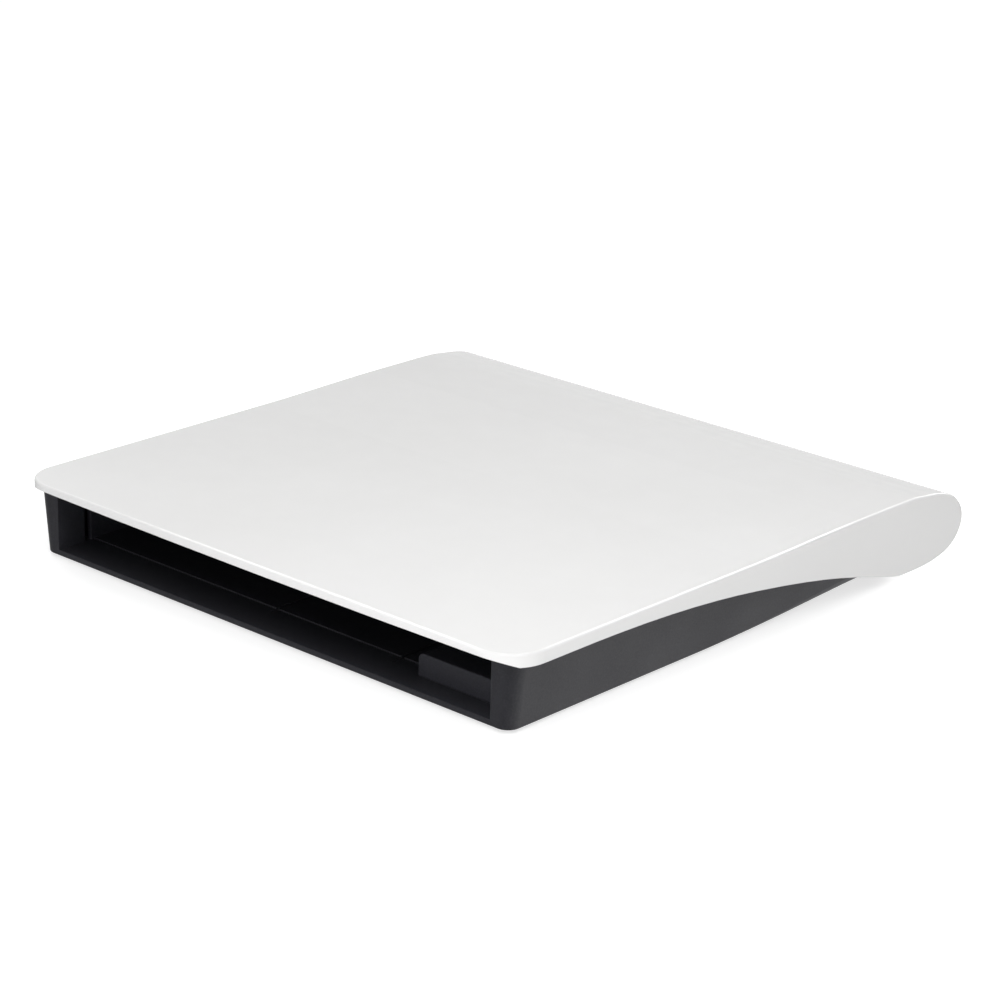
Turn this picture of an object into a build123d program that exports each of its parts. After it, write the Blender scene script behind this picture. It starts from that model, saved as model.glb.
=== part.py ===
from build123d import *
import math
import os

# External enclosure for a 12.7 mm slim optical drive: a white cover that swells into a round bulb
# along its rear, a black base tray with an open front bay, and the bridge electronics in the bulb.
# Millimetres. +Z up, the open front faces -Y, and the origin is on the table under the middle.

# ---- driving dimensions ----
BAY_WIDTH = 129.4           # clear width between the front posts, for a 128 mm wide drive
COVER_WIDTH = 147.3
COVER_DEPTH = 151.0
COVER_TOP = 18.1            # height of the flat part of the cover above the table
COVER_WALL = 1.8
COVER_CORNER_RADIUS = 9.0    # the two front corners, seen from above
COVER_EDGE_RADIUS = 0.6
SKIRT_WALL = 1.5
LIP_OVERHANG = 3.75         # how far the cover's front lip stands out in front of the tray
FOOT_HEIGHT = 0.78          # how far a rubber foot stands out below the tray

FRONT_Y = -COVER_DEPTH / 2
REAR_Y = COVER_DEPTH / 2

SKIRT_FRONT_Z = 15.18       # lower edge of the skirts along the front half
SKIRT_TURN = (-55.3, SKIRT_FRONT_Z)
SKIRT_END = (58.5, 0.6)     # where the skirts' lower edge has run into the bulb
BULB_BOTTOM = (57.5, 1.05)
CREST = (36.0, 18.6)        # the cover is highest here, in Y and Z
FLAT_END = (0.0, COVER_TOP)
LIP_END_Z = 16.7            # lower edge of the front lip at the cover's sides
LIP_MIDDLE_Z = 16.16        # the lip is a little deeper in the middle
LIP_END_SLOPE = 0.4         # how fast the lip's underside falls towards the rear, at the sides
LIP_MIDDLE_SLOPE = 0.18     # and in the middle

TRAY_FRONT = FRONT_Y + LIP_OVERHANG
TRAY_REAR = 55.5
TRAY_BOTTOM = FOOT_HEIGHT
TRAY_FLOOR_HALF = 69.6      # half-width of the tray at its bottom
TRAY_DRAFT = 7.0            # degrees that each side wall leans outward
TRAY_WALL = 1.8
TRAY_TOP = 14.85            # just below the skirts, so the cover can slide over it
TRAY_FRONT_RADIUS = 3.0
TRAY_REAR_RADIUS = 8.0
TRAY_EDGE_RADIUS = 0.25
BAY_HALF = BAY_WIDTH / 2
CEILING = COVER_TOP - COVER_WALL

FLOOR_FRONT_TOP = 2.1       # sill at the mouth of the bay
FLOOR_TOP = 2.4             # main floor, one small step up
FLOOR_STEP_Y = TRAY_FRONT + 10.2
POST_DEPTH = 7.6
GUIDE_GAP = 1.8             # slot between a front post and the guide wall behind it
GUIDE_WALL = 1.4
GUIDE_TOP = 14.0
GUIDE_REAR = 44.0

# The lower edge of each side of the tray is rounded under more and more towards the rear:
# places along Y, and the size of the rounding there.
TUCK_STEPS = ((-22.0, 0.05), (-3.0, 0.6), (10.5, 1.6), (24.5, 3.2), (40.0, 5.0), (58.0, 6.0))

SPACER_LEFT = 39.5          # left side of the raised block under the drive's narrow side
SPACER_FRONT = TRAY_FRONT + 6.0
SPACER_REAR = 50.0
SPACER_TOP = 7.1

HOOK_ROWS = (-50.0, -6.0, 34.0)
HOOK_LENGTH = 8.0

SHELF_BOTTOM = 3.9          # shelf in the bulb that carries the circuit board
SHELF_TOP = 4.9
BOARD_BOTTOM = 5.4
BOARD_TOP = 6.6
BOARD_LEFT = -58.0
BOARD_RIGHT = 26.0
BOARD_FRONT = 56.2
BOARD_REAR = 69.9
BOARD_SCREWS = ((-54.5, 59.8), (22.5, 59.8))
SCREW_RADIUS = 0.9

SATA_X = -33.0
SATA_WIDTH = 31.0
SATA_FRONT = 54.9
SATA_DEPTH = 6.6
SATA_HEIGHT = 5.2
SATA_SLOT_Z = BOARD_TOP + 2.5
SATA_PITCH = 1.27
SIGNAL_BLADES = [SATA_X - 12.0 + SATA_PITCH * i for i in range(7)]
POWER_BLADES = [SATA_X + 3.0 + SATA_PITCH * i for i in range(6)]

USB_X = -44.0
USB_WIDTH = 7.7
USB_HEIGHT = 3.9
USB_FRONT = 65.2
SOCKET_REAR = 74.8          # rear faces of both sockets, in the cover's rear wall
USB_PLATE = 0.3

DC_X = -21.0
DC_FRONT = 62.6
DC_WIDTH = 6.4
DC_HEIGHT = 5.6
DC_NOSE_RADIUS = 2.6
DC_BORE_RADIUS = 1.8
DC_Z = BOARD_TOP + 2.9

LED_X = -33.0
LED_Z = BOARD_TOP + 1.0
PIPE_RADIUS = 1.0

CHIP_X = -1.0
CHIP_Y = 63.2
CHIP_HALF = 3.5

FOOT_RADIUS = 4.5
FOOT_X = 58.0
FOOT_FRONT_Y = -58.0
FOOT_REAR_Y = 36.0


def box(x0, x1, y0, y1, z0, z1):
    """Solid block between two corners."""
    return Pos((x0 + x1) / 2, (y0 + y1) / 2, (z0 + z1) / 2) * Box(x1 - x0, y1 - y0, z1 - z0)


def post(x, y, z0, z1, radius):
    """Upright cylinder between two heights."""
    return Pos(x, y, (z0 + z1) / 2) * Cylinder(radius, z1 - z0)


def rod_y(x, z, y0, y1, radius):
    """Cylinder along Y between two places."""
    return Pos(x, (y0 + y1) / 2, z) * Rot(90, 0, 0) * Cylinder(radius, y1 - y0)


def side_face(edges):
    """Face in the YZ plane from edges drawn with Y and Z as their first two coordinates."""
    return Plane.YZ * make_face(edges)


def tray_half_width(z):
    """Half-width of the tray's outside at height z."""
    return TRAY_FLOOR_HALF + (z - TRAY_BOTTOM) * math.tan(math.radians(TRAY_DRAFT))


# ---- cover ----
def cover_profile_edges():
    """Side profile of the cover without its S-shaped lower edge: flat top, crest and round bulb."""
    front_top = (FRONT_Y, COVER_TOP)
    front_low = (FRONT_Y, BULB_BOTTOM[1])
    bulb = Spline(
        [BULB_BOTTOM, (67.0, 1.85), (72.7, 4.2), (REAR_Y, 9.6), (72.0, 14.95), (61.6, 17.9), CREST],
        tangents=[(1, 0), (-1, 0)],
    )
    swell = Spline([CREST, FLAT_END], tangents=[(-1, 0), (-1, 0)])
    flat_top = Line(FLAT_END, front_top)
    front = Line(front_top, front_low)
    bottom = Line(front_low, BULB_BOTTOM)
    return [bulb, swell, flat_top, front, bottom]


def cover_outside():
    """Outer form of the cover: rounded all round, then cut away below the skirts and the lip."""
    body = extrude(side_face(cover_profile_edges()), COVER_WIDTH / 2, both=True)
    front_corners = [e for e in body.edges().filter_by(Axis.Z) if e.center().Y < FRONT_Y + 1]
    body = fillet(front_corners, COVER_CORNER_RADIUS)
    # The rounding runs on through every tangent edge: the front, both sides and both bulb ends.
    front_edges = [e for e in body.edges().filter_by(Axis.X) if e.center().Y < FRONT_Y + 1]
    front_top = ShapeList(front_edges).sort_by(Axis.Z)[-1]
    body = fillet(front_top, COVER_EDGE_RADIUS)
    return body - skirt_underside() - lip_underside()


def skirt_underside():
    """Space under the cover, below the S-shaped lower edge of its skirts."""
    front = FRONT_Y - 1
    low = -5.0
    edge = Spline(
        [SKIRT_TURN, (-11.6, 13.25), (12.9, 9.98), (30.2, 6.7), (43.1, 3.45), SKIRT_END],
        tangents=[(1, 0), (1, -0.06)],
    )
    rest = Polyline(SKIRT_END, (SKIRT_END[0], low), (front, low), (front, SKIRT_FRONT_Z), SKIRT_TURN)
    return extrude(side_face([edge, *rest.edges()]), COVER_WIDTH, both=True)


def lip_section(back):
    """Outline of the space under the lip, an arch at its top, at a distance behind the lip's front."""
    half = COVER_WIDTH / 2 + 1
    low = 5.0
    end_z = LIP_END_Z - LIP_END_SLOPE * back
    left = (-half, end_z)
    middle = (0, LIP_MIDDLE_Z - LIP_MIDDLE_SLOPE * back)
    right = (half, end_z)
    arch = ThreePointArc(left, middle, right)
    rest = Polyline(right, (half, low), (-half, low), left)
    # The XZ plane's own normal is -Y, so a section at y is offset by -y.
    return Plane.XZ.offset(-(FRONT_Y + back)) * make_face([arch, *rest.edges()])


def lip_underside():
    """Space under the front lip, sloping down to the rear until it meets the skirts."""
    return loft([lip_section(-1.0), lip_section(12.0)], ruled=True)


def inset_curve(edge, distance, count):
    """Curve a fixed distance inside an edge of the profile, with the profile on the edge's left."""
    points = []
    for i in range(count + 1):
        place = edge.position_at(i / count)
        along = edge.tangent_at(i / count)
        points.append((place.X - along.Y * distance, place.Y + along.X * distance))
    return Spline(points, tangents=[edge.tangent_at(0), edge.tangent_at(1)])


def bulb_cavity():
    """Hollow inside the bulb and under the crest, one wall thickness inside the cover's profile."""
    bulb, swell = cover_profile_edges()[:2]
    bulb_inside = inset_curve(bulb, COVER_WALL, 8)
    swell_inside = inset_curve(swell, COVER_WALL, 2)
    front = 44.0
    bottom = BULB_BOTTOM[1] + COVER_WALL
    ceiling = CEILING - 0.5
    rest = Polyline(
        (FLAT_END[0], CEILING), (FLAT_END[0], ceiling), (front, ceiling), (front, bottom),
        (BULB_BOTTOM[0], bottom),
    )
    inner_half = COVER_WIDTH / 2 - SKIRT_WALL
    face = side_face([bulb_inside, swell_inside, *rest.edges()])
    return extrude(face, inner_half, both=True)


def bay_cavity():
    """Hollow over the tray, with rounded rear corners that follow the end of the tray's floor."""
    gap = 0.45
    inner_half = COVER_WIDTH / 2 - SKIRT_WALL
    front = TRAY_FRONT - 1.1
    rear = TRAY_REAR + gap
    block = box(-inner_half, inner_half, front, rear, -5.0, CEILING)
    rear_corners = [e for e in block.edges().filter_by(Axis.Z) if e.center().Y > 0]
    block = fillet(rear_corners, TRAY_REAR_RADIUS + 1.6)
    front_corners = [e for e in block.edges().filter_by(Axis.Z) if e.center().Y < -60]
    return fillet(front_corners, COVER_CORNER_RADIUS - SKIRT_WALL)


def cover_hook(side, y):
    """Hook that hangs from the cover beside the bay and reaches out under a ledge of the tray."""
    tab = box(67.0, 68.0, y - HOOK_LENGTH / 2, y + HOOK_LENGTH / 2, 11.6, CEILING + 1.0)
    toe = box(67.0, 68.9, y - HOOK_LENGTH / 2, y + HOOK_LENGTH / 2, 11.6, 12.7)
    hook = tab + toe
    return hook if side > 0 else mirror(hook, Plane.YZ)


def usb_window():
    """Opening in the cover's rear wall for the USB socket."""
    gap = 0.35
    z_mid = BOARD_TOP + USB_HEIGHT / 2
    width = USB_WIDTH + 2 * gap
    height = USB_HEIGHT + 2 * gap
    cutter = Pos(USB_X, 74.0, z_mid) * Box(width, 12.0, height)
    return fillet(cutter.edges().filter_by(Axis.Y), 0.6)


def top_cover():
    """White cover with bulb, front lip, skirts, hooks and the three rear openings."""
    cover = cover_outside() - bay_cavity() - bulb_cavity()
    for y in HOOK_ROWS:
        for side in (-1, 1):
            cover += cover_hook(side, y)
    cover -= usb_window()
    cover -= rod_y(DC_X, DC_Z, 68.0, 80.0, DC_NOSE_RADIUS + 0.3)
    cover -= rod_y(LED_X, LED_Z, 68.0, 80.0, PIPE_RADIUS)
    return cover


def light_pipe():
    """Clear rod that carries the activity light through the cover's rear wall."""
    stem = rod_y(LED_X, LED_Z, 70.1, 74.5, PIPE_RADIUS)
    collar = rod_y(LED_X, LED_Z, 70.1, 71.0, PIPE_RADIUS + 0.6)
    return stem + collar


def cover_pads():
    """Two foam strips under the cover that press on the drive."""
    pads = []
    for y in (-40.0, 20.0):
        pads.append(box(-50.0, 50.0, y - 5.0, y + 5.0, CEILING - 0.8, CEILING))
    return Compound(pads)


# ---- tray ----
def tray_trapezoid(low, high, inset, y0, y1):
    """Block along Y whose sides lean outward like the tray's walls, a given distance inside them."""
    half_low = tray_half_width(low) - inset
    half_high = tray_half_width(high) - inset
    points = [(-half_low, low), (half_low, low), (half_high, high), (-half_high, high)]
    face = Plane.XZ.offset(-y0) * make_face(Polyline(*points, close=True))
    return extrude(face, y1 - y0, dir=(0, 1, 0))


def tray_outside():
    """Outer form of the tray: leaning sides, upright front and rounded corners."""
    body = tray_trapezoid(TRAY_BOTTOM, TRAY_TOP, 0.0, TRAY_FRONT, TRAY_REAR)
    upright = [e for e in body.edges() if e.bounding_box().size.Z > 10]
    front = [e for e in upright if e.center().Y < 0]
    body = fillet(front, TRAY_FRONT_RADIUS)
    upright = [e for e in body.edges() if e.bounding_box().size.Z > 10 and e.center().Y > 0]
    body = fillet(upright, TRAY_REAR_RADIUS)
    under = [e for e in body.edges() if e.bounding_box().max.Z < TRAY_BOTTOM + 0.01]
    body = fillet(under, TRAY_EDGE_RADIUS)
    return body - tuck(1) - tuck(-1)


def tuck_section(y, size):
    """Outline of the space beside a rounded lower edge of the given size, at one place along Y."""
    wide = TRAY_FLOOR_HALF + 4
    low = TRAY_BOTTOM - 1
    up = TRAY_BOTTOM + size
    out = tray_half_width(up)
    inner = TRAY_FLOOR_HALF - size * 0.9
    corner = (TRAY_FLOOR_HALF - size * 0.18, TRAY_BOTTOM + size * 0.24)
    arc = ThreePointArc((inner, TRAY_BOTTOM), corner, (out, up))
    side = Polyline((out, up), (wide, up), (wide, low), (inner, low), (inner, TRAY_BOTTOM))
    return Plane.XZ.offset(-y) * make_face([arc, *side.edges()])


def tuck(side):
    """Cutter that rounds the tray's lower side edge more and more towards the rear."""
    sections = [tuck_section(y, size) for y, size in TUCK_STEPS]
    cutter = loft(sections)
    return cutter if side > 0 else mirror(cutter, Plane.YZ)


def tray_inside():
    """Space inside the tray's outer walls, open at the top and at the rear."""
    rear = TRAY_REAR + 5
    front = TRAY_FRONT + POST_DEPTH
    space = tray_trapezoid(FLOOR_FRONT_TOP, TRAY_TOP + 1, TRAY_WALL, front, rear)
    mouth = box(-BAY_HALF, BAY_HALF, TRAY_FRONT - 5, front + 1, FLOOR_FRONT_TOP, TRAY_TOP + 1)
    return space + mouth


def floor_riser():
    """Main floor, one small step above the sill, from the left wall to the raised block."""
    left = -tray_half_width(FLOOR_TOP) + TRAY_WALL / 2
    right = SPACER_LEFT - 0.2
    return box(left, right, FLOOR_STEP_Y, TRAY_REAR - 1.5, FLOOR_FRONT_TOP - 0.2, FLOOR_TOP)


def floor_grooves():
    """Two narrow grooves along the floor."""
    width = 0.8
    depth = 0.5
    rear = 40.0
    grooves = []
    for x, front in ((-5.7, TRAY_FRONT + 8.5), (31.3, TRAY_FRONT + 7.0)):
        grooves.append(box(x - width / 2, x + width / 2, front, rear, FLOOR_TOP - depth, FLOOR_TOP + 1))
    return Compound(grooves)


def guide_wall(side):
    """Inner wall that guides the drive, behind a slot beside the front post."""
    front = TRAY_FRONT + POST_DEPTH + GUIDE_GAP
    wall = box(BAY_HALF, BAY_HALF + GUIDE_WALL, front, GUIDE_REAR, FLOOR_FRONT_TOP - 0.2, GUIDE_TOP)
    for y in (-44.0, -14.0, 16.0):
        outer = tray_half_width(6.0) - TRAY_WALL / 2
        wall += box(BAY_HALF + 0.2, outer, y, y + 1.2, FLOOR_FRONT_TOP - 0.2, 9.5)
    return wall if side > 0 else mirror(wall, Plane.YZ)


def floor_fill(side):
    """Thicker floor beside the guide wall, where the lower edge outside is rounded under."""
    outer = tray_half_width(3.0) - TRAY_WALL / 2
    fill = box(BAY_HALF + 0.3, outer, 2.0, TRAY_REAR - 4.0, FLOOR_FRONT_TOP - 0.2, 4.6)
    return fill if side > 0 else mirror(fill, Plane.YZ)


def hook_ledge(side, y):
    """Ledge inside the tray's outer wall that a hook of the cover slides under."""
    length = HOOK_LENGTH + 2
    outer = tray_half_width(13.0) - TRAY_WALL / 2
    ledge = box(68.3, outer, y - length / 2, y + length / 2, 13.0, 14.0)
    return ledge if side > 0 else mirror(ledge, Plane.YZ)


def board_shelf():
    """Shelf behind the bay, over the cover's rounded bottom, with posts for the circuit board."""
    left = BOARD_LEFT - 1
    right = BOARD_RIGHT + 1
    riser = box(left, right, TRAY_REAR - 1.4, TRAY_REAR, FLOOR_FRONT_TOP - 0.2, SHELF_TOP)
    shelf = riser + box(left, right, TRAY_REAR - 0.5, 63.0, SHELF_BOTTOM, SHELF_TOP)
    for x, y in BOARD_SCREWS:
        shelf += post(x, y, SHELF_BOTTOM, BOARD_BOTTOM, 2.2)
        shelf -= post(x, y, SHELF_BOTTOM - 1, BOARD_BOTTOM + 1, SCREW_RADIUS + 0.03)
    for x in (-33.0, -12.0, 4.0):
        shelf += box(x - 2, x + 2, 57.4, 61.0, SHELF_TOP - 0.2, BOARD_BOTTOM)
    return shelf


def label_recess():
    """Shallow recess under the tray for the label."""
    return box(-35.0, 35.0, -20.0, 20.0, TRAY_BOTTOM - 1, TRAY_BOTTOM + 0.2)


def base_tray():
    """Black tub with the bay's floor and walls, and the shelf for the circuit board."""
    tray = tray_outside() - tray_inside()
    tray += floor_riser() & tray_outside()
    tray -= floor_grooves()
    for side in (-1, 1):
        tray += guide_wall(side)
        tray += floor_fill(side) & tray_outside()
        for y in HOOK_ROWS:
            tray += hook_ledge(side, y)
    tray += board_shelf()
    tray -= label_recess()
    for x, y in BOARD_SCREWS:
        tray -= post(x, y, SHELF_BOTTOM - 1, BOARD_BOTTOM + 1, SCREW_RADIUS + 0.03)
    return tray


def wing_spacer():
    """Hollow block that fills the space under the drive's narrow side, ribbed inside."""
    wall = 1.4
    left = SPACER_LEFT
    right = BAY_HALF - 0.1
    block = box(left, right, SPACER_FRONT, SPACER_REAR, FLOOR_FRONT_TOP, SPACER_TOP)
    top_left = block.edges().filter_by(Axis.Y).group_by(Axis.Z)[-1].sort_by(Axis.X)[0]
    block = fillet(top_left, 1.5)
    front_left = [e for e in block.edges() if abs(e.center().Y - SPACER_FRONT) < 0.01]
    front_left = [e for e in front_left if e.center().Z > SPACER_TOP - 1.6]
    block = fillet(front_left, 0.3)
    hollow = box(
        left + wall, right - wall, SPACER_FRONT + wall, SPACER_REAR - wall,
        FLOOR_FRONT_TOP - 1, SPACER_TOP - wall,
    )
    block -= hollow
    for y in (-42.0, -18.0, 6.0, 30.0):
        block += box(left + 0.5, right - 0.5, y, y + 1.0, FLOOR_FRONT_TOP, SPACER_TOP - 0.5)
    return block


def floor_pads():
    """Two foam strips on the floor that the drive rests on."""
    pads = []
    for y in (-25.0, 25.0):
        pads.append(box(-55.0, -10.0, y - 4.0, y + 4.0, FLOOR_TOP, FLOOR_TOP + 0.4))
    return Compound(pads)


def foot(x, y):
    """Round rubber foot with a rounded lower edge."""
    pad = post(x, y, 0.0, TRAY_BOTTOM, FOOT_RADIUS)
    lower = pad.edges().sort_by(Axis.Z)[0]
    return chamfer(lower, 0.3)


def rating_label():
    """Blank label in its recess under the tray."""
    label = box(-34.6, 34.6, -19.6, 19.6, TRAY_BOTTOM + 0.08, TRAY_BOTTOM + 0.2)
    return fillet(label.edges().filter_by(Axis.Z), 2.0)


# ---- electronics ----
def bridge_board():
    """Circuit board with two screw holes."""
    board = box(BOARD_LEFT, BOARD_RIGHT, BOARD_FRONT, BOARD_REAR, BOARD_BOTTOM, BOARD_TOP)
    board = fillet(board.edges().filter_by(Axis.Z), 0.8)
    for x, y in BOARD_SCREWS:
        board -= post(x, y, BOARD_BOTTOM - 1, BOARD_TOP + 1, 1.15)
    return board


def board_screws():
    """Two pan-head screws that hold the board to the shelf."""
    screws = []
    for x, y in BOARD_SCREWS:
        shank = post(x, y, SHELF_BOTTOM + 0.2, BOARD_TOP + 0.2, SCREW_RADIUS)
        head = post(x, y, BOARD_TOP, BOARD_TOP + 1.3, 1.9)
        head = fillet(head.edges().sort_by(Axis.Z)[-1], 0.6)
        cross = box(x - 1.1, x + 1.1, y - 0.25, y + 0.25, BOARD_TOP + 0.5, BOARD_TOP + 2)
        cross += box(x - 0.25, x + 0.25, y - 1.1, y + 1.1, BOARD_TOP + 0.5, BOARD_TOP + 2)
        screws.append(shank + head - cross)
    return Compound(screws)


def sata_receptacle():
    """Receptacle with a signal slot and a power slot that the drive's connector plugs into."""
    left = SATA_X - SATA_WIDTH / 2
    right = SATA_X + SATA_WIDTH / 2
    rear = SATA_FRONT + SATA_DEPTH
    body = box(left, right, SATA_FRONT, rear, BOARD_TOP, BOARD_TOP + SATA_HEIGHT)
    body = chamfer(body.edges().filter_by(Axis.Y), 0.4)
    slots = (
        (-13.2, -3.2, 0.7), (1.8, 10.6, 0.7),       # signal and power, from the middle
        (-13.2, -12.1, 1.5), (9.5, 10.6, 1.5),      # and the key at the end of each
    )
    for x0, x1, up in slots:
        body -= box(
            SATA_X + x0, SATA_X + x1, SATA_FRONT - 1, SATA_FRONT + 4.6,
            SATA_SLOT_Z - 0.6, SATA_SLOT_Z + up,
        )
    return body


def sata_contacts():
    """Thirteen contact blades in the floor of the receptacle's slots."""
    blades = []
    for x in SIGNAL_BLADES + POWER_BLADES:
        y0 = SATA_FRONT + 0.8
        blades.append(box(x - 0.3, x + 0.3, y0, SATA_FRONT + 4.5, SATA_SLOT_Z - 0.6, SATA_SLOT_Z - 0.4))
    return Compound(blades)


def rounded_rod(width, height, y0, y1, z_mid, x_mid, radius):
    """Bar along Y with rounded edges."""
    bar = Pos(x_mid, (y0 + y1) / 2, z_mid) * Box(width, y1 - y0, height)
    return fillet(bar.edges().filter_by(Axis.Y), radius)


def usb_shell():
    """Formed steel shell of the USB socket, open at the rear, with legs on the board."""
    z_mid = BOARD_TOP + USB_HEIGHT / 2
    shell = rounded_rod(USB_WIDTH, USB_HEIGHT, USB_FRONT, SOCKET_REAR, z_mid, USB_X, 0.7)
    inside = rounded_rod(
        USB_WIDTH - 2 * USB_PLATE, USB_HEIGHT - 2 * USB_PLATE,
        USB_FRONT + USB_PLATE, SOCKET_REAR + 1, z_mid, USB_X, 0.45,
    )
    return shell - inside


def usb_tongue():
    """Insulator of the USB socket: a block at the back of the shell and a tongue towards its mouth."""
    z_mid = BOARD_TOP + USB_HEIGHT / 2
    inner_w = USB_WIDTH - 2 * USB_PLATE
    inner_h = USB_HEIGHT - 2 * USB_PLATE
    block = rounded_rod(inner_w, inner_h, USB_FRONT + USB_PLATE, USB_FRONT + 3.3, z_mid, USB_X, 0.45)
    tongue = box(USB_X - 2.3, USB_X + 2.3, USB_FRONT + 3, SOCKET_REAR - 0.8, z_mid - 0.1, z_mid + 0.8)
    return block + tongue


def usb_contacts():
    """Five contact strips under the tongue."""
    z_mid = BOARD_TOP + USB_HEIGHT / 2
    strips = []
    for i in range(5):
        x = USB_X + (i - 2) * 0.8
        strips.append(box(x - 0.2, x + 0.2, USB_FRONT + 3.4, SOCKET_REAR - 1.2, z_mid - 0.25, z_mid - 0.1))
    return Compound(strips)


def dc_jack():
    """Moulded body of the 5 V inlet, with a round nose in the cover's wall."""
    half = DC_WIDTH / 2
    body = box(DC_X - half, DC_X + half, DC_FRONT, 70.4, BOARD_TOP, BOARD_TOP + DC_HEIGHT)
    body = chamfer(body.edges().filter_by(Axis.Y).group_by(Axis.Z)[-1], 0.5)
    nose = rod_y(DC_X, DC_Z, 70.0, SOCKET_REAR, DC_NOSE_RADIUS)
    return body + nose - rod_y(DC_X, DC_Z, DC_FRONT + 1.5, SOCKET_REAR + 1, DC_BORE_RADIUS)


def dc_jack_pin():
    """Centre pin of the 5 V inlet."""
    pin = rod_y(DC_X, DC_Z, DC_FRONT + 1.5, SOCKET_REAR - 1.0, 0.65)
    return fillet(pin.edges().sort_by(Axis.Y)[-1], 0.3)


def dc_jack_spring():
    """Leaf contact along the floor of the inlet's bore."""
    z = DC_Z - DC_BORE_RADIUS + 0.25
    return box(DC_X - 0.5, DC_X + 0.5, DC_FRONT + 2.0, SOCKET_REAR - 2.0, z, z + 0.25)


def bridge_chip():
    """Square bridge chip with bevelled top edges and a pin-one dimple."""
    size = 2 * CHIP_HALF
    chip = Pos(CHIP_X, CHIP_Y, BOARD_TOP + 0.8) * Box(size, size, 1.4)
    chip = chamfer(chip.faces().sort_by(Axis.Z)[-1].edges(), 0.25)
    return chip - post(CHIP_X - 2.4, CHIP_Y - 2.4, BOARD_TOP + 1.4, BOARD_TOP + 2, 0.45)


def bridge_chip_leads():
    """Forty-eight leads, twelve to a side, stepping down from the chip to the board."""
    leads = []
    outline = Polyline(
        (CHIP_HALF, 0.7), (CHIP_HALF + 0.45, 0.7), (CHIP_HALF + 0.45, 0.15), (CHIP_HALF + 1.0, 0.15),
        (CHIP_HALF + 1.0, 0.0), (CHIP_HALF + 0.3, 0.0), (CHIP_HALF + 0.3, 0.55), (CHIP_HALF, 0.55),
        close=True,
    )
    section = Plane.XZ * make_face(outline)
    lead = extrude(section, 0.11, both=True)
    for turn in range(4):
        for i in range(12):
            placed = Rot(0, 0, 90 * turn) * (Pos(0, (i - 5.5) * 0.5, 0) * lead)
            leads.append(Pos(CHIP_X, CHIP_Y, BOARD_TOP) * placed)
    return Compound(leads)


def crystal():
    """Metal-can crystal lying on the board."""
    base = Pos(9.2, 62.8, BOARD_TOP + 0.3) * extrude(SlotOverall(10.8, 4.6, rotation=90), 0.3, both=True)
    can = Pos(9.2, 62.8, BOARD_TOP + 0.6) * extrude(SlotOverall(10.0, 3.8, rotation=90), 2.8)
    can = fillet(can.edges().group_by(Axis.Z)[-1], 0.5)
    return base + can


def leaded_chip(x, y, length, width, height, leads, pitch):
    """Moulded chip with flat leads along its two long sides."""
    gap = 0.1
    body = Pos(x, y, BOARD_TOP + (gap + height) / 2) * Box(length, width, height - gap)
    body = chamfer(body.faces().sort_by(Axis.Z)[-1].edges(), 0.2)
    for i in range(leads):
        lead_x = x + (i - (leads - 1) / 2) * pitch
        body += Pos(lead_x, y, BOARD_TOP + 0.15) * Box(0.4, width + 1.8, 0.3)
    return body


def flash_chip():
    """Eight-lead memory chip."""
    return leaded_chip(15.8, 59.6, 4.9, 3.6, 1.5, 4, 1.27)


def voltage_regulator():
    """Regulator with a wide heat tab on one side and three leads on the other."""
    x = 16.6
    y = 66.3
    body = box(x - 3.2, x + 3.2, y - 1.7, y + 1.7, BOARD_TOP + 0.1, BOARD_TOP + 1.7)
    body = chamfer(body.faces().sort_by(Axis.Z)[-1].edges(), 0.25)
    body += box(x - 1.5, x + 1.5, y + 1.2, y + 3.1, BOARD_TOP, BOARD_TOP + 0.3)
    for i in range(3):
        lead_x = x + (i - 1) * 2.3
        body += box(lead_x - 0.35, lead_x + 0.35, y - 3.1, y - 1.2, BOARD_TOP, BOARD_TOP + 0.3)
    return body


def power_inductor():
    """Wound inductor: round ferrite drum on a square foot."""
    x = -11.5
    y = 59.6
    foot_block = box(x - 2.4, x + 2.4, y - 2.4, y + 2.4, BOARD_TOP, BOARD_TOP + 0.5)
    foot_block = chamfer(foot_block.edges().filter_by(Axis.Z), 0.8)
    core = post(x, y, BOARD_TOP + 0.5, BOARD_TOP + 2.0, 1.7)
    flange = post(x, y, BOARD_TOP + 2.0, BOARD_TOP + 2.6, 2.3)
    return foot_block + core + flange


def bulk_capacitor():
    """Electrolytic can on its square base."""
    x = -11.5
    y = 66.4
    foot_block = box(x - 2.65, x + 2.65, y - 2.65, y + 2.65, BOARD_TOP, BOARD_TOP + 0.8)
    foot_block = chamfer(foot_block.edges().filter_by(Axis.Z).sort_by(Axis.Y)[-2:], 1.0)
    can = post(x, y, BOARD_TOP + 0.8, BOARD_TOP + 5.4, 2.5)
    can = fillet(can.edges().group_by(Axis.Z)[-1], 0.35)
    return foot_block + can


def chip_parts(places, length, width, height):
    """Small two-ended components, each lying along X or along Y."""
    made = []
    for x, y, along_y in places:
        half_x = (width if along_y else length) / 2
        half_y = (length if along_y else width) / 2
        block = box(x - half_x, x + half_x, y - half_y, y + half_y, BOARD_TOP, BOARD_TOP + height)
        made.append(fillet(block.edges().filter_by(Axis.Z), 0.08))
    return Compound(made)


def chip_capacitors():
    """Ceramic capacitors around the chips."""
    row = [(-6.9, 60.5 + 1.6 * i, False) for i in range(4)]
    lone = [(4.9, 60.4, True), (4.9, 66.0, True), (21.4, 64.2, True), (-52.4, 66.0, True)]
    return chip_parts(row + lone, 1.6, 0.8, 0.8)


def chip_resistors():
    """Chip resistors beside the sockets and the crystal."""
    row = [(-37.2 + 1.5 * i, 63.6, True) for i in range(5)]
    lone = [(12.6, 64.3, True), (-50.9, 66.0, True)]
    return chip_parts(row + lone, 1.6, 0.8, 0.45)


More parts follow.
